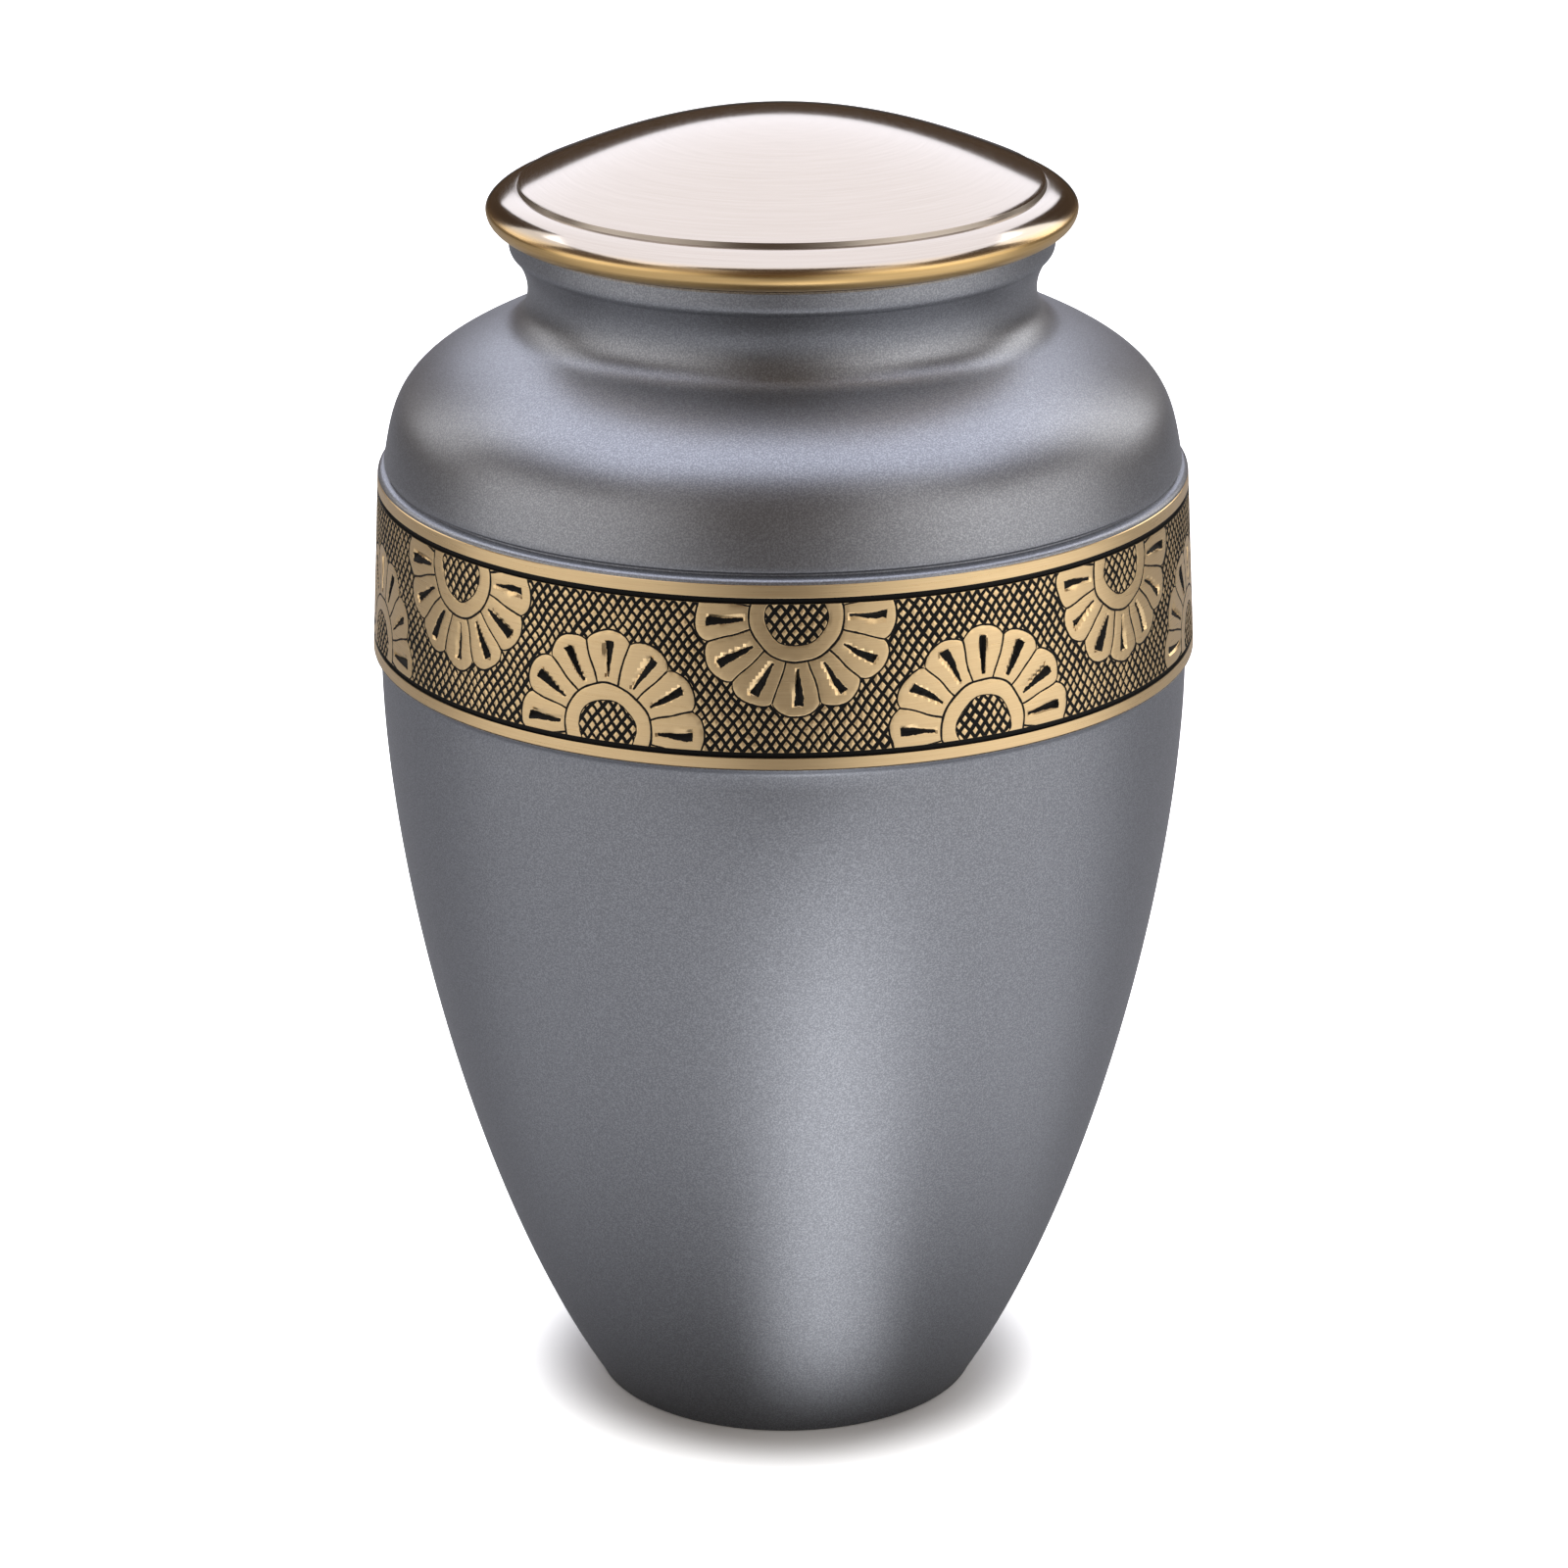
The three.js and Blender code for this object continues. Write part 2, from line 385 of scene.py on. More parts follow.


# brushed brass, with the streaks running round the axis, and paler above the given height: a painted
# highlight
def makeBrushedBrass(name, grainGroup, highlightToneFrom, strength, roughness):
    t = turnedBrass
    material, tree, shader = newMaterial(name)
    streak = useGroup(tree, grainGroup, Fineness=t["fineness"], Drag=t["drag"]).outputs["Grain"]
    tone = smoothStep(tree, streak, *t["toneRange"])
    height = apart(tree, objectPlace(tree))[2]
    # painted highlight: above the given height the brass turns paler and greyer
    highlightTone = smoothStep(tree, height, *((highlightToneFrom + fade) * mm for fade in t["highlightFade"]))
    gold = mixColour(tree, tone, t["footDeep"], t["footBright"])
    highlightBrass = mixColour(tree, tone, t["deep"], t["bright"])
    link(tree, mixColour(tree, highlightTone, gold, highlightBrass), shader.inputs["Base Color"])
    shader.inputs["Metallic"].default_value = 1.0
    fromStep = maths(tree, "ABSOLUTE", minus(tree, height, t["stepHeight"] * mm))
    onStep = smoothStep(tree, fromStep, *(edge * mm for edge in t["stepEdge"]))
    duller = maths(tree, "ADD", minus(tree, 1.0, highlightTone), onStep)
    rough = addShare(tree, roughness - t["streakRoughness"] / 2, streak, t["streakRoughness"])
    link(tree, addShare(tree, rough, duller, t["duller"]), shader.inputs["Roughness"])
    link(tree, bump(tree, streak, strength, t["streakDepth"] * mm), shader.inputs["Normal"])
    return material


# the engraved band: half daisies on cross-hatching between two plain rims, in millimetres
engraving = {
    "lowerRim": 2.2,
    "upperRim": 2.4,
    "rimRound": 0.15,
    "rimRoundDepth": 0.12,
    "rimRows": (1.1, 1.2),
    "borderLine": 1.15,
    "borderDepth": 0.5,
    "borderSlope": 0.12,
    "borderStep": 0.02,
    "daisies": 7,
    "petals": 7,
    "petalPitch": radians(29.2),
    "petalTip": 19.0,
    "petalValley": 16.6,
    "petalDrift": 0.9,
    "eyeInset": 2.3,
    "eyeRadius": 5.6,
    "eyeRing": 8.75,
    "cutStart": 9.9,
    "cutEnd": 16.9,
    "cutStartHalf": 0.22,
    "cutEndHalf": 0.84,
    "cutDepth": 0.55,
    "cutSlope": 0.5,
    "cutStep": 0.1,
    "cutShift": 0.16,
    "cutSwing": radians(5),
    "cutRag": 0.5,
    "hatchLines": 252,
    "hatchSteps": 4,
    "hatchRows": 42,
    "hatchHalf": 0.34,
    "hatchThinner": 0.86,
    "hatchDepth": 0.17,
    "hatchRag": 0.22,
    "hatchDrift": 0.3,
    "lineHalf": 0.19,
    "lineDepth": 0.05,
    "lineRag": 0.16,
    "ringWider": 1.15,
    "eyeLineThinner": 0.6,
    "separatorReach": 0.3,
    "ringReach": 0.25,
    "ragScale": 900.0,
    "driftScale": 130.0,
    # distances from a line's edge between which the filling and the relief end
    "fillEdge": (0.05, -0.03),
    "reliefEdge": (-0.06, 0.09),
    # the hand's waves: how many round the band, lean over height, start, size
    "wander": 0.16,
    "wanderWaves": ((23, 0.41, 0, 1), (61, -0.67, 1.3, 0.8)),
    "lift": 0.8,
    "liftWaves": ((31, -0.35, 0.7, 1), (74, 0.5, 0, 0.7)),
    "calmEdge": 12,
}


# The engraving as a mask: from the place round the band (turns) and up it (millimetres above the
# field's foot) it takes the nearest half daisy's own radius and angle, and marks the hatching, the
# petal outlines and separators, the ring round the eye and one chisel cut in each petal. Every
# part is a distance from its line's edge, negative on the line, and the smallest one counts.
def makeEngravingMask(field, girth):
    e = engraving
    tree, given, out = newGroup("engravingMask", {"Turns": 0.0, "Up": 0.0}, ["Fill", "Relief"])
    turns, up = given.outputs["Turns"], given.outputs["Up"]
    pitch = girth / e["daisies"]
    place = objectPlace(tree)
    rag = minus(tree, noise(tree, place, e["ragScale"], detail=2.0, roughness=0.6), 0.5)
    drift = minus(tree, noise(tree, place, e["driftScale"], detail=1.0), 0.5)

    def fromRow(shift, drop):
        cell = maths(tree, "ADD", times(tree, turns, float(e["daisies"])), shift)
        whole = maths(tree, "ROUND", cell)
        across = times(tree, minus(tree, cell, whole), pitch)
        return whole, across, drop, flatLength(tree, across, drop)

    def stroke(distance, halfWidth):
        return minus(tree, maths(tree, "ABSOLUTE", distance), halfWidth)

    hanging = fromRow(0.0, minus(tree, field - e["eyeInset"], up))
    standing = fromRow(0.5, minus(tree, up, e["eyeInset"]))
    upper = maths(tree, "LESS_THAN", hanging[3], standing[3])
    whole, across, drop, reach = (mixValue(tree, upper, b, a) for a, b in zip(hanging, standing))
    # the petal's number from the middle one, and the angle from that petal's own middle
    bearing = maths(tree, "ARCTAN2", across, drop)
    last = e["petals"] // 2
    nearest = maths(tree, "ROUND", maths(tree, "DIVIDE", bearing, e["petalPitch"]))
    petal = smallest(tree, largest(tree, nearest, -last), last)
    local = minus(tree, bearing, times(tree, petal, e["petalPitch"]))
    # petal edge: the valley radius plus a rounded lobe
    wave = maths(tree, "COSINE", times(tree, local, pi / e["petalPitch"]))
    lobe = maths(tree, "SQRT", largest(tree, wave, 0.0))
    edge = addShare(tree, e["petalValley"], lobe, e["petalTip"] - e["petalValley"])
    edge = addShare(tree, edge, drift, e["petalDrift"])
    beyond = minus(tree, reach, edge)
    # lines: round the petals, between them and round the eye
    side = minus(tree, e["petalPitch"] / 2, maths(tree, "ABSOLUTE", local))
    separator = stroke(times(tree, reach, maths(tree, "SINE", side)), e["lineHalf"])
    separator = largest(tree, separator, minus(tree, e["eyeRing"], reach), beyond)
    ring = stroke(minus(tree, reach, e["eyeRing"]), e["lineHalf"] * e["ringWider"])
    eyeLine = stroke(minus(tree, reach, e["eyeRadius"]), e["lineHalf"] * e["eyeLineThinner"])
    strokes = smallest(tree, stroke(beyond, e["lineHalf"]), separator, ring, eyeLine)
    strokes = addShare(tree, strokes, rag, e["lineRag"])
    # cuts: a wedge along each petal, each swung a little at random
    chance = tree.nodes.new("ShaderNodeTexWhiteNoise")
    tree.links.new(together(tree, petal, whole, upper), chance.inputs["Vector"])
    swing = times(tree, minus(tree, chance.outputs["Value"], 0.5), e["cutSwing"])
    length = e["cutEnd"] - e["cutStart"]
    share = maths(tree, "DIVIDE", minus(tree, reach, e["cutStart"]), length)
    cutHalf = addShare(tree, e["cutStartHalf"], share, e["cutEndHalf"] - e["cutStartHalf"])
    offset = times(tree, reach, maths(tree, "SINE", minus(tree, local, swing)))
    # the fill lies towards the lower right of each cut, so the other flank stays bare
    phase = times(tree, minus(tree, upper, 0.5), pi / 2)
    lean = maths(tree, "COSINE", maths(tree, "ADD", bearing, phase))
    offset = minus(tree, offset, times(tree, lean, e["cutShift"]))
    cut = largest(tree, stroke(offset, cutHalf), minus(tree, e["cutStart"], reach),
                  minus(tree, reach, e["cutEnd"]))
    cut = addShare(tree, cut, rag, e["cutRag"])
    # hatching: two families of lines, counted round the band and up it
    upPitch = field / e["hatchRows"] * e["hatchSteps"]
    acrossPitch = girth / e["hatchLines"]
    spacing = upPitch * acrossPitch / (upPitch**2 + acrossPitch**2) ** 0.5
    lines = []
    for sign, halfWidth in ((1.0, e["hatchHalf"] * e["hatchThinner"]), (-1.0, e["hatchHalf"])):
        count = addShare(tree, times(tree, turns, float(e["hatchLines"])), up, sign / upPitch)
        off = times(tree, minus(tree, count, maths(tree, "ROUND", count)), spacing)
        lines.append(stroke(off, halfWidth))
    hatch = addShare(tree, smallest(tree, *lines), rag, e["hatchRag"])
    hatch = addShare(tree, hatch, drift, e["hatchDrift"])
    ground = largest(tree, beyond, minus(tree, e["eyeRadius"], reach))
    hatch = largest(tree, hatch, times(tree, ground, -1.0))
    # all of it inside the field, and the line along each border
    border = largest(tree, times(tree, up, -1.0), minus(tree, up, field))
    inField = largest(tree, smallest(tree, strokes, cut, hatch), border)
    borderHalf = e["borderLine"] / 2
    every = smallest(tree, inField, stroke(minus(tree, border, borderHalf), borderHalf))
    link(tree, smoothStep(tree, every, *e["fillEdge"]), out.inputs["Fill"])
    link(tree, smoothStep(tree, every, *e["reliefEdge"]), out.inputs["Relief"])
    return tree


bandBrass = {
    "bright": (1.0, 0.75, 0.43, 1),
    "deep": (0.92, 0.66, 0.35, 1),
    "fineness": 6.0,
    "drag": 6.0,
    "toneRange": (0.25, 0.75),
    "roughness": 0.24,
    "streakRoughness": 0.1,
    "streakBump": (0.3, 0.02),
    "engravingBump": (0.4, 0.1),
    "fill": (0.003, 0.0025, 0.002, 1),
    "fillRoughness": 0.5,
    "fillShine": 0.2,
}


# the band's brass, with the engraving filled black
def makeEngravedBrass(grainGroup, maskGroup, bandHeight, fieldFoot):
    b = bandBrass
    material, tree, shader = newMaterial("engravedBrass")
    place = tree.nodes.new("ShaderNodeUVMap")
    place.uv_map = "bandMap"
    turns, level, _ = apart(tree, place.outputs[0])
    up = minus(tree, times(tree, level, bandHeight), fieldFoot)
    mask = useGroup(tree, maskGroup, Turns=turns, Up=up)
    fill = mask.outputs["Fill"]
    streak = useGroup(tree, grainGroup, Fineness=b["fineness"], Drag=b["drag"]).outputs["Grain"]
    metal = mixColour(tree, smoothStep(tree, streak, *b["toneRange"]), b["deep"], b["bright"])
    link(tree, mixColour(tree, fill, metal, b["fill"]), shader.inputs["Base Color"])
    link(tree, minus(tree, 1.0, fill), shader.inputs["Metallic"])
    shader.inputs["Specular IOR Level"].default_value = b["fillShine"]
    rough = addShare(tree, b["roughness"], streak, b["streakRoughness"])
    link(tree, mixValue(tree, fill, rough, b["fillRoughness"]), shader.inputs["Roughness"])
    strength, depth = b["streakBump"]
    brushed = bump(tree, streak, strength, depth * mm)
    strength, depth = b["engravingBump"]
    link(tree, bump(tree, mask.outputs["Relief"], strength, depth * mm, brushed), shader.inputs["Normal"])
    return material


# depth of the engraving over the band: the mask's own formula with wider lines, and the chisel
# cuts as wedges that deepen from their edges
def engravedDepth(around, up, field, girth):
    e = engraving
    pitch = girth / e["daisies"]

    def fromRow(shift, drop):
        cell = around * e["daisies"] + shift
        across = (cell - np.round(cell)) * pitch
        return across, drop, np.hypot(across, drop)

    hanging = fromRow(0.0, field - e["eyeInset"] - up)
    standing = fromRow(0.5, up - e["eyeInset"])
    upper = hanging[2] < standing[2]
    across, drop, reach = (np.where(upper, a, b) for a, b in zip(hanging, standing))
    bearing = np.arctan2(across, drop)
    last = e["petals"] // 2
    local = bearing - np.clip(np.round(bearing / e["petalPitch"]), -last, last) * e["petalPitch"]
    lobe = np.sqrt(np.maximum(np.cos(local * pi / e["petalPitch"]), 0))
    edge = e["petalValley"] + (e["petalTip"] - e["petalValley"]) * lobe
    beyond = reach - edge
    ground = (beyond > 0) | (reach < e["eyeRadius"])
    upPitch = field / e["hatchRows"] * e["hatchSteps"]
    depth = np.zeros_like(reach)
    for sign in (1, -1):
        count = around * e["hatchLines"] + sign * up / upPitch
        onLine = np.abs(count - np.round(count)) < 0.5 / e["hatchSteps"]
        depth = np.where(ground & onLine, e["hatchDepth"], depth)
    side = reach * np.sin(e["petalPitch"] / 2 - np.abs(local))
    separator = (np.abs(side) < e["separatorReach"]) & (reach > e["eyeRing"]) & (beyond < 0)
    ring = (np.abs(reach - e["eyeRing"]) < e["ringReach"]) | (np.abs(beyond) < e["ringReach"])
    depth = np.where(separator | ring, np.maximum(depth, e["lineDepth"]), depth)
    share = (reach - e["cutStart"]) / (e["cutEnd"] - e["cutStart"])
    cutHalf = e["cutStartHalf"] + share * (e["cutEndHalf"] - e["cutStartHalf"])
    inside = (cutHalf - np.abs(reach * np.sin(local))) / e["cutSlope"] + e["cutStep"]
    inCut = (reach > e["cutStart"]) & (reach < e["cutEnd"])
    return np.where(inCut, np.maximum(depth, np.clip(inside, 0, 1) * e["cutDepth"]), depth)


# Millimetres, from the foot up, a place being its radius and height. The widest radius and the
# top come from the frame. Bends are the handles of the curves beside the place they are named
# for, and neckBends only their heights, because they stand at the neck's own radius.
vessel = {
    "foot": 38.5,
    "footRound": 0.9,
    "flankBends": ((62.7, 38.9), (79.4, 110)),
    "belly": (79.1, 153.6),
    "bandLow": (float(vesselHigh[1]) / mm, 155.6),
    "bandHigh": (78.9, 190.6),
    "lipHeight": 1.0,
    "grooveDepth": 0.5,
    "grooveRows": (0.25, 0.5),
    "shoulder": (77.6, 193.0),
    "shoulderBends": ((75.6, 205), (74.8, 210.2)),
    "neckFoot": (54.2, 219.0),
    "neckFootBend": (50.9, 220.4),
    "neck": (49.1, 226.5),
    "neckBends": (222.7, 229),
    "collarUnderBend": (50, 231.4),
    "collarFoot": 233.5,
    "collarFootBend": (52.3, 234.1),
    "collarSide": 235.6,
    "collar": (52.6, float(vesselHigh[2]) / mm),
    "wall": 2.2,
    "floor": 3.5,
    # radii of the rings across the underside and across the floor inside
    "undersideRings": (10, 24, 34),
    "floorRings": (10, 24),
    "throatRing": 230,
    "mouthRound": 0.4,
    # the upright share of the wall's direction at the foot and under the shoulder
    "footRise": 0.54,
    "shoulderFall": -0.92,
    "columns": 252,
    "insideColumns": 126,
    # each block's share of the flat sheet
    "lowerShare": 0.16,
    "bandShare": 0.56,
    "bandStrips": 3,
    "upperShare": 0.14,
    "insideShare": 0.08,
}


# the sum of slow waves, each its size times a sine, and the sine is taken of count times angle
# plus lean times height plus start
def handWaves(angle, height, waves):
    return sum(size * np.sin(count * angle + lean * height + start)
               for count, lean, start, size in waves)


# The engraved band's block: rows of rim, border line, field, border line and rim. The radius goes
# evenly from the band's foot to its top, less the engraving's depth at each point.
def bandBlock(finish):
    e = engraving
    low, high = vessel["bandLow"], vessel["bandHigh"]
    line, slope, step = e["borderLine"], e["borderSlope"], e["borderStep"]
    fieldLow = low[1] + e["lowerRim"] + line
    fieldHigh = high[1] - e["upperRim"] - line
    field = fieldHigh - fieldLow
    girth = 2 * pi * (low[0] + high[0]) / 2
    columns = e["hatchLines"] * e["hatchSteps"]
    rims = [low[1], low[1] + e["rimRound"], low[1] + e["rimRows"][0], fieldLow - line - step,
            fieldLow - line + slope, fieldLow - slope]
    tops = [fieldHigh + slope, fieldHigh + line - slope, fieldHigh + line + step,
            high[1] - e["rimRows"][1], high[1] - e["rimRound"], high[1]]
    rimDepths = np.array([e["rimRoundDepth"], 0, 0, 0, e["borderDepth"], e["borderDepth"]])
    steps = np.linspace(0, field, e["hatchRows"] + 1)
    heights = np.concatenate([rims, fieldLow + steps, tops])
    around = np.arange(columns) / columns
    turns, up = np.meshgrid(around, steps)
    depth = np.vstack([np.repeat(rimDepths[:, None], columns, 1),
                       engravedDepth(turns, up, field, girth),
                       np.repeat(rimDepths[::-1, None], columns, 1)])
    height = np.repeat(heights[:, None], columns, 1)
    share = (height - low[1]) / (high[1] - low[1])
    radius = low[0] + (high[0] - low[0]) * share - depth
    # the hand wanders: slow waves move the pattern a little, dying out at the field's edges
    calm = np.clip((height - fieldLow) * (fieldHigh - height) / e["calmEdge"], 0, 1)
    angle = 2 * pi * np.repeat(around[None], len(heights), 0)
    wander = handWaves(angle, height, e["wanderWaves"])
    lift = handWaves(angle, height, e["liftWaves"])
    block = {"radius": radius, "turn": e["wander"] * wander * calm / radius,
             "height": height + e["wander"] * e["lift"] * lift * calm, "finish": finish,
             "share": vessel["bandShare"], "strips": vessel["bandStrips"],
             "level": (heights - low[1]) / (high[1] - low[1])}
    return block, field, girth, fieldLow - low[1]


# the wall's inner face opposite a point of the outer one; rise is the upright share of the way in
def inward(point, rise=0.0):
    return (point[0] - vessel["wall"] * (1 - rise**2) ** 0.5, point[1] + vessel["wall"] * rise)


# underside, heel, flank and the flare under the band
def lowerProfile():
    v = vessel
    heel = (v["foot"], v["footRound"])
    flat = v["foot"] - v["footRound"]
    heelBends = [(flat + 0.55, 0), (v["foot"] - 0.12, 0.4)]
    widest, bandFoot = v["bandLow"]
    flareBends = [(79.15, 154.6), (widest - 0.35, 154.9)]
    flareTop = (widest - 0.02, bandFoot - 0.12)
    underBand = (widest - 0.25, bandFoot - 0.03)
    return np.vstack([[(radius, 0) for radius in (*v["undersideRings"], flat - 0.8, flat)],
                      cubic((flat, 0), *heelBends, heel, count=8),
                      cubic(heel, *v["flankBends"], v["belly"], count=44),
                      cubic(v["belly"], *flareBends, flareTop, count=8), [underBand]])


# the lip over the band, the groove, the shoulder, the neck and the collar
def upperProfile():
    v = vessel
    bandRadius, bandTop = v["bandHigh"]
    shoulder, neck, neckHeight = v["shoulder"], v["neck"][0], v["neckBends"]
    lipFoot = (bandRadius - 0.06, bandTop + 0.06)
    lipBends = [(bandRadius - 0.05, 191.1), (78.4, 191.5)]
    lipTop = (shoulder[0] + 0.1, bandTop + v["lipHeight"])
    groove = [(shoulder[0] - v["grooveDepth"], lipTop[1] + row) for row in v["grooveRows"]]
    underShoulder = (shoulder[0] - 0.02, 192.6)
    collar, top = v["collar"]
    collarFoot = (collar - 1.1, v["collarFoot"])
    collarSide = (collar, v["collarSide"])
    collarTop = [(collar - 0.15, top - 0.13), (collar - 0.5, top)]
    return np.vstack([[lipFoot], cubic(lipFoot, *lipBends, lipTop, count=8), groove,
                      straight(groove[-1], underShoulder, count=2), [shoulder],
                      cubic(shoulder, *v["shoulderBends"], v["neckFoot"], count=34),
                      cubic(v["neckFoot"], v["neckFootBend"], (neck, neckHeight[0]), v["neck"], count=10),
                      cubic(v["neck"], (neck, neckHeight[1]), v["collarUnderBend"], collarFoot, count=10),
                      cubic(collarFoot, v["collarFootBend"], (collar, 234.6), collarSide, count=5),
                      straight(collarSide, (collar, top - 0.5), count=3), collarTop])


# the hollow from the middle of its floor to the mouth, one wall inside the outer curves
def hollowProfile():
    v = vessel
    rise, fall = v["footRise"], v["shoulderFall"]
    mouth = v["neck"][0] - v["wall"]
    throat = inward(v["neckFoot"], fall)
    heelIn = inward((v["foot"], v["footRound"]), rise)
    hollowFoot = (heelIn[0] + 0.8, heelIn[1] + 1.8)
    shoulderIn = inward(v["shoulder"])
    flankBends, shoulderBends = v["flankBends"], v["shoulderBends"]
    floorRings = [(radius, v["floor"]) for radius in (*v["floorRings"], hollowFoot[0] - 3)]
    flank = cubic(hollowFoot, inward(flankBends[0], rise), inward(flankBends[1]), inward(v["belly"]),
                  count=20)
    dome = cubic(shoulderIn, inward(shoulderBends[0]), inward(shoulderBends[1], fall), throat,
                 count=12)
    top = v["collar"][1]
    throatRows = [(mouth, throat[1] + 4), (mouth, v["throatRing"]), (mouth, top - v["mouthRound"]),
                  (mouth + v["mouthRound"], top)]
    return np.vstack([floorRings, [hollowFoot], flank, [shoulderIn], dome, throatRows])


# the vessel: outside from the middle of the foot up, then inside from the mouth down to the floor
def makeVessel(painted, bare, grainGroup):
    v = vessel
    band, field, girth, fieldFoot = bandBlock(finish=1)
    blocks = [turnedBlock(lowerProfile(), v["columns"], 0, v["lowerShare"]), band,
              turnedBlock(upperProfile(), v["columns"], 0, v["upperShare"]),
              turnedBlock(hollowProfile()[::-1], v["insideColumns"], 2, v["insideShare"])]
    bandHeight = v["bandHigh"][1] - v["bandLow"][1]
    maskGroup = makeEngravingMask(field, girth)
    engraved = makeEngravedBrass(grainGroup, maskGroup, bandHeight, fieldFoot)
    return turnedMesh("vessel", blocks, [painted, engraved, bare])


# millimetres; the bead's radius, the top and the register's foot come from the frame
lid = {
    "bead": (float(lidHigh[1]) / mm, 242.3),
    "beadTop": 246.4,
    # handles of the curves under and over the bead's widest place, of which the height alone is
    # given for the one that stands at the bead's own radius
    "beadLowBends": ((55.5, 239.1), 240.6),
    "beadHighBends": (243.9, (53.4, 246.3)),
    "riser": (50.8, 50.4),
    "seat": (53.3, vessel["collar"][1] + 0.3),
    "domeBulge": 0.00546,
    "domeFlattening": 3.64e-5,
    "domeTip": 1.0,
    "wall": 2.4,
    "register": (46.3, float(lidLow[2]) / mm),
    "registerWall": 2.2,
    "registerRound": 0.6,
    "roofRings": 16,
    "domeRings": 60,
    "columns": 252,
    "insideShare": 0.18,
    "outsideShare": 0.76,
}


# The lid's dome: its top less the bulge times the radius squared, a little flatter further out.
def domeHeight(radius, top):
    return top - lid["domeBulge"] * radius**2 * (1 - lid["domeFlattening"] * radius**2)


# the lid: inside from the middle of the roof down to the register's foot, then outside from
# there over the seat, the bead and the riser to the top of the dome
def makeLid(finish, bare):
    top = float(lidHigh[2]) / mm
    beadRadius = lid["bead"][0]
    riserLow, riserHigh = lid["riser"]
    seat = lid["seat"]
    lowBend, lowSide = lid["beadLowBends"]
    highSide, highBend = lid["beadHighBends"]
    register, foot = lid["register"]
    inner = register - lid["registerWall"]
    roof = np.linspace(lid["domeTip"], inner, lid["roofRings"])
    roofRows = np.stack([roof, domeHeight(roof, top) - lid["wall"]], -1)
    sleeve = straight((inner, domeHeight(inner, top) - lid["wall"]), (inner, foot + 0.2), count=5)
    registerRows = [(inner + 0.2, foot), (register - lid["registerRound"], foot),
                    (register, foot + lid["registerRound"]), (register, seat[1] - 0.02),
                    (register + 0.05, seat[1]), (seat[0] - 0.2, seat[1]), seat]
    beadLow = cubic(seat, lowBend, (beadRadius, lowSide), lid["bead"], count=16)
    beadHigh = cubic(lid["bead"], (beadRadius, highSide), highBend, (riserLow, lid["beadTop"]), count=24)
    domeEdge = [(riserHigh + 0.1, domeHeight(riserHigh, top) - 0.12)]
    dome = np.linspace(riserHigh, lid["domeTip"], lid["domeRings"])
    domeRows = np.stack([dome, domeHeight(dome, top)], -1)
    domeRows[0] = (riserHigh - 0.12, domeRows[0, 1] + 0.02)
    inside = np.vstack([roofRows, sleeve])
    outside = np.vstack([registerRows, beadLow, beadHigh, domeEdge, domeRows])
    blocks = [turnedBlock(inside, lid["columns"], 1, lid["insideShare"]),
              turnedBlock(outside, lid["columns"], 0, lid["outsideShare"])]
    return turnedMesh("lidPiece", blocks, [finish, bare])


grainGroup = makeTurnedGrain()
pewterPaint = makePewterPaint()
lidBrass = makeBrushedBrass("lidBrass", grainGroup, lid["bead"][1] + turnedBrass["highlightOverBead"],
                            **turnedBrass["lid"])
bareBrass = makeBrushedBrass("bareBrass", grainGroup, turnedBrass["insideHighlightFrom"],
                             **turnedBrass["inside"])
print("paint and plain brass made")

vesselPiece = makeVessel(pewterPaint, bareBrass, grainGroup)
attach(vesselPiece, "root")
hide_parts("urn_body")

lidPiece = makeLid(lidBrass, bareBrass)
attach(lidPiece, "root")
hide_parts("lid")
print("pieces made")

# camera, worked out from the photograph's perspective
view = {
    "distance": 1.0386,
    "height": 0.4974,
    "downTilt": radians(19.776),
    "turn": radians(-1.75),
    "roll": radians(-0.195),
    "lens": 127.28,
    "sensor": 36.0,
    "nearest": 0.05,
}
cameraData = bpy.data.cameras.new("camera")
cameraData.lens = view["lens"]
cameraData.sensor_width = view["sensor"]
cameraData.sensor_fit = "HORIZONTAL"
cameraData.clip_start = view["nearest"]
camera = bpy.data.objects.new("camera", cameraData)
scene.collection.objects.link(camera)
camera.matrix_world = (Matrix.Rotation(view["turn"], 4, "Z")
                       @ Matrix.Translation((0, -view["distance"], view["height"]))
                       @ Matrix.Rotation(pi / 2 - view["downTilt"], 4, "X")
                       @ Matrix.Rotation(view["roll"], 4, "Z"))
scene.camera = camera
print("camera set")

# the light: two ceiling panels, soft boxes in a ring round the urn and the floor's own glow
studio = {
    "boxDistance": 1.2,
    "boxSize": (0.5, 0.75),
    "boxTarget": 0.13,
    # azimuth from the camera's side, elevation, power
    "boxes": [(-85, 10, 1.25), (-62, 10, 1.1), (-40, 10, 0.75), (22, 10, 0.45), (42, 10, 1.05),
              (62, 10, 1.5), (85, 10, 1.2), (-125, 28, 1.5), (125, 28, 2.4), (-45, 42, 0.5),
              (42, 42, 0.9)],
    "boxColour": (1.0, 0.98, 0.94),
    # half width, back edge and front edge (depth and height), power
    "panels": [(0.75, (2.1, 0.78), (1.0, 1.3), 9.7), (1.12, (1.0, 1.3), (-0.45, 1.55), 17.5)],
    "panelColour": (0.945, 0.98, 1.1),
    # the room as the urn sees it
    "dim": (0.085, 0.054, 0.033, 1),
    "floorReach": 6.0,
}


# a soft rectangular light that the camera doesn't see
def softLight(name, size, power, colour, placing):
    data = bpy.data.lights.new(name, "AREA")
    data.shape = "RECTANGLE"
    data.size, data.size_y = size
    data.energy = power
    data.color = colour
    light = bpy.data.objects.new(name, data)
    scene.collection.objects.link(light)
    light.matrix_world = placing
    light.visible_camera = False


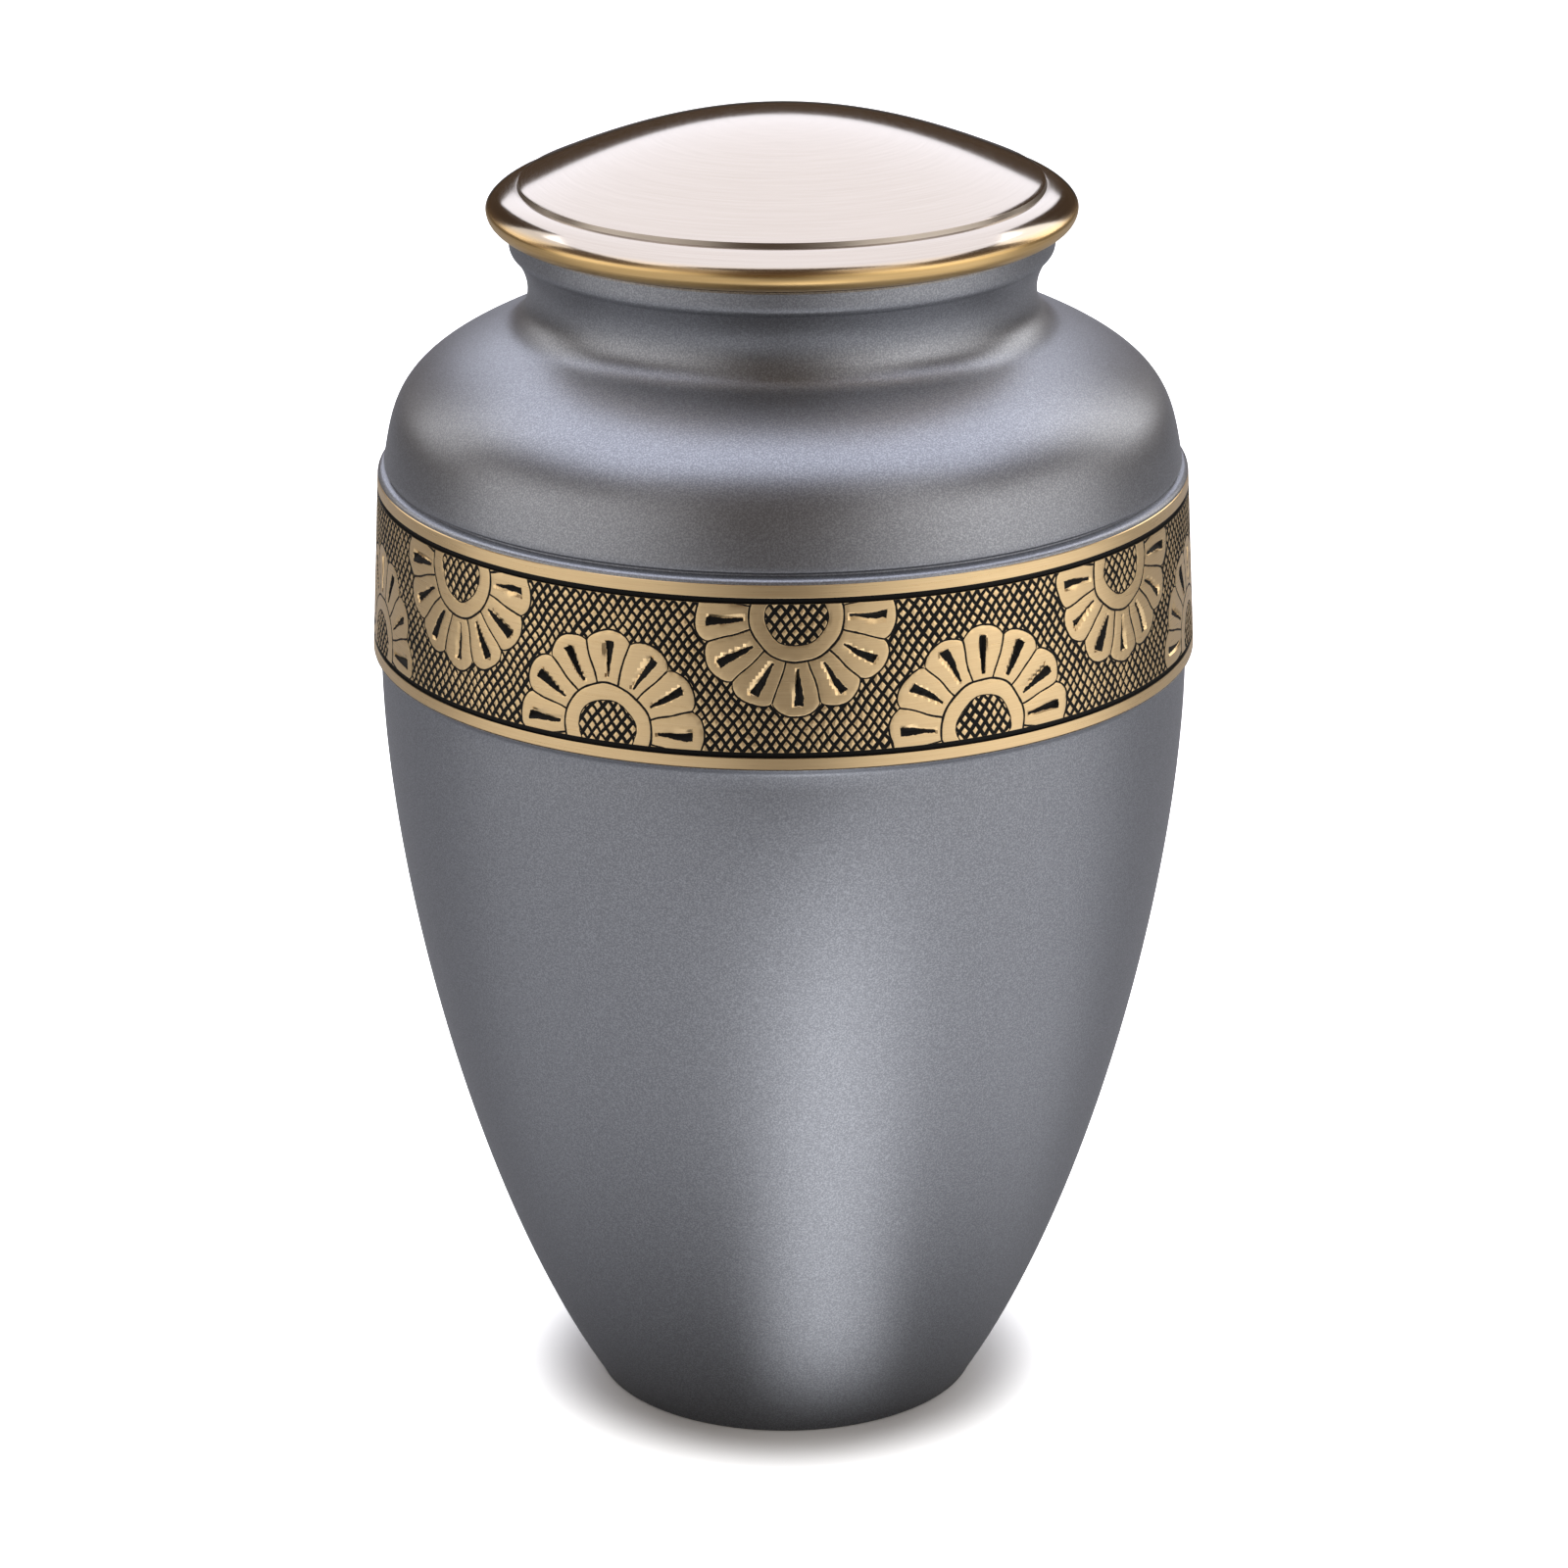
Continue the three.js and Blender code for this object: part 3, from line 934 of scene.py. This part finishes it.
for number, (azimuth, elevation, power) in enumerate(studio["boxes"]):
    around, lift = radians(azimuth), radians(elevation)
    away = Vector((sin(around) * cos(lift), -cos(around) * cos(lift), sin(lift)))
    place = away * studio["boxDistance"] + Vector((0, 0, studio["boxTarget"]))
    softLight("softBox" + str(number), studio["boxSize"], power, studio["boxColour"],
              Matrix.Translation(place) @ away.to_track_quat("Z", "Y").to_matrix().to_4x4())

for number, (half, back, front, power) in enumerate(studio["panels"]):
    depth, rise = back[0] - front[0], front[1] - back[1]
    centre = ((back[0] + front[0]) / 2, (back[1] + front[1]) / 2)
    size = (2 * half, (depth**2 + rise**2) ** 0.5)
    softLight("panel" + str(number), size, power, studio["panelColour"],
              Matrix.Translation((0, *centre)) @ Matrix.Rotation(-atan2(rise, depth), 4, "X"))

floorMesh = bpy.data.meshes.new("floor")
reach = studio["floorReach"]
floorCorners = [(x * reach, y * reach, 0) for x, y in ((-1, -1), (1, -1), (1, 1), (-1, 1))]
floorMesh.from_pydata(floorCorners, [], [(0, 1, 2, 3)])
floor = bpy.data.objects.new("floor", floorMesh)
scene.collection.objects.link(floor)

# a pair of distances from the axis, or of bearings from the camera's side, is where a part fades
paper = {
    "bounce": (0.3, 0.3, 0.3, 1),
    "seen": (0.96, 0.96, 0.96, 1),
    # painted shadow: the white glow the eye sees starts at the first distance from the axis and is full
    # at the second
    "paintedShadowFade": (0.04, 0.063),
    "roughness": 0.9,
    "shine": 0.1,
    "patch": 1.04,
    "patchBearing": radians(11),
    "patchHalf": radians(31),
    "patchStart": (0.038, 0.068),
    "patchEnd": (0.48, 0.14),
    "glow": 0.385,
    "glowLean": 0.11,
    "glowStart": (0.03, 0.17),
    "glowEnd": (1.3, 0.8),
    "glowBack": (radians(110), radians(75)),
    "gap": (radians(5), radians(23)),
    "gapFar": (0.35, 0.25),
}


# White paper that glows full white to the eye, the glow fading out towards the foot so the lamps' own
# shade
# shows there: a painted shadow round the foot. The urn sees a dimmer table whose glow lights it: a patch
# in front of it, a little to the right, and a wide glow to both sides.
def makeFloorPaper():
    material, tree, shader = newMaterial("floorPaper")
    material.cycles.emission_sampling = "NONE"
    seen = tree.nodes.new("ShaderNodeLightPath").outputs["Is Camera Ray"]
    link(tree, mixColour(tree, seen, paper["bounce"], paper["seen"]), shader.inputs["Base Color"])
    shader.inputs["Roughness"].default_value = paper["roughness"]
    shader.inputs["Specular IOR Level"].default_value = paper["shine"]
    x, y = apart(tree, objectPlace(tree))[:2]
    away = flatLength(tree, x, y)
    bearing = maths(tree, "ARCTAN2", x, times(tree, y, -1.0))
    aside = maths(tree, "ABSOLUTE", minus(tree, bearing, paper["patchBearing"]))
    patch = times(tree, smoothStep(tree, aside, paper["patchHalf"], 0.0), paper["patch"],
                  smoothStep(tree, away, *paper["patchStart"]),
                  smoothStep(tree, away, *paper["patchEnd"]))
    turn = maths(tree, "ABSOLUTE", bearing)
    gap = largest(tree, smoothStep(tree, turn, *paper["gap"]), smoothStep(tree, away, *paper["gapFar"]))
    wide = times(tree, addShare(tree, paper["glow"], maths(tree, "SINE", bearing), paper["glowLean"]),
                 smoothStep(tree, away, *paper["glowStart"]),
                 smoothStep(tree, away, *paper["glowEnd"]),
                 smoothStep(tree, turn, *paper["glowBack"]), gap)
    # the glow: to the eye a white glow that fades out towards the foot, a painted shadow; to the urn the
    # patch and the wide glow
    glowWithPaintedShadow = mixColour(tree, seen, maths(tree, "ADD", patch, wide),
                    smoothStep(tree, away, *paper["paintedShadowFade"]))
    shader.inputs["Emission Color"].default_value = (1, 1, 1, 1)
    link(tree, glowWithPaintedShadow, shader.inputs["Emission Strength"])
    return material


floorMesh.materials.append(makeFloorPaper())

world = bpy.data.worlds.new("studio")
scene.world = world
world.use_nodes = True
tree = world.node_tree
background = tree.nodes["Background"]
seen = tree.nodes.new("ShaderNodeLightPath").outputs["Is Camera Ray"]
link(tree, mixColour(tree, seen, studio["dim"], (1, 1, 1, 1)), background.inputs["Color"])
background.inputs["Strength"].default_value = 1.0
scene.view_settings.view_transform = "Standard"
print("studio set")
